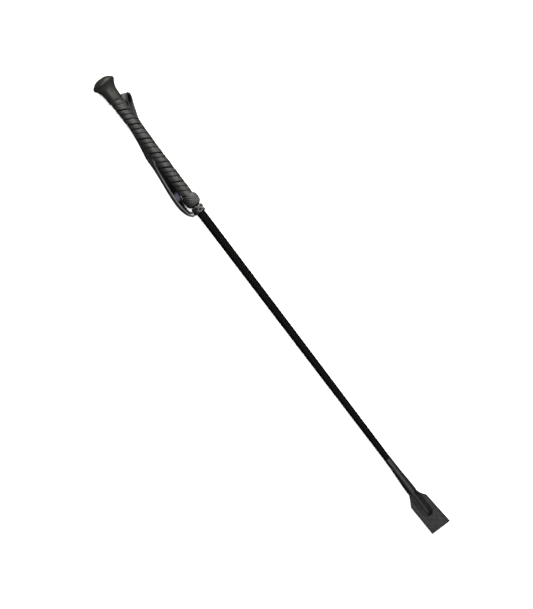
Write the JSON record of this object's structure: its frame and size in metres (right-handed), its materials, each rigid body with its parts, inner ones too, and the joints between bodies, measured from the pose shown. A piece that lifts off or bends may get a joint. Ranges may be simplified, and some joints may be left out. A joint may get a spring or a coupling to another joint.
{
  "type": "riding crop",
  "caption": "Riding crop with a flared cap, leather-wrapped handle, woven knots, flat wrist loop, tapering braided shaft and a leather keeper that bends beyond the rod's tip.",
  "frame": {"origin": "middle of the flat on the cap's end face, on the crop's axis", "axes": "+X along the crop from the butt to the keeper, +Z out of the keeper's front face, +Y across the keeper"},
  "size_m": [0.65, 0.0366, 0.0282],
  "materials": {
    "moulded_cap": "satin, lightly mottled",
    "grip_leather": "fine grain, semi-matte",
    "woven_leather": "semi-matte strands",
    "strap_leather": "glossy inside, stitched outside",
    "keeper_leather": "semi-matte grain",
    "black_braid": "braided thread",
    "binding_thread": "waxed thread",
    "stitch_thread": "waxed thread",
    "core_plastic": "matte",
    "fibreglass": "resin"
  },
  "bodies": {
    "crop": {"butt_cap": "moulded_cap", "handle_core": "core_plastic", "core_rod": "fibreglass", "shaft_braid": "black_braid", "grip_wrap": "grip_leather", "ball_core": "core_plastic", "ball_cover": "woven_leather", "knot_binding": "binding_thread", "loop_knot": "woven_leather", "strap_tails": "strap_leather", "neck_binding": "binding_thread", "keeper_front": "keeper_leather", "keeper_back": "keeper_leather", "keeper_stitching": "stitch_thread", "rod_tip_cap": "core_plastic"},
    "wrist_loop": {"wrist_strap": "strap_leather"},
    "flap_tip": {"flap_front": "keeper_leather", "flap_back": "keeper_leather", "flap_stitching": "stitch_thread"}
  },
  "joints": [
    {"name": "loop_swing", "type": "hinge", "parent": "crop", "child": "wrist_loop", "pos_m": [0.1885, -0.0083, -0.0036], "axis": [0, -1, 0], "range_deg": [0, 110]},
    {"name": "flap_bend", "type": "hinge", "parent": "crop", "child": "flap_tip", "pos_m": [0.633, 0, 0], "axis": [0, 1, 0], "range_deg": [-60, 60], "stiffness_Nm_per_rad": 0.2}
  ]
}
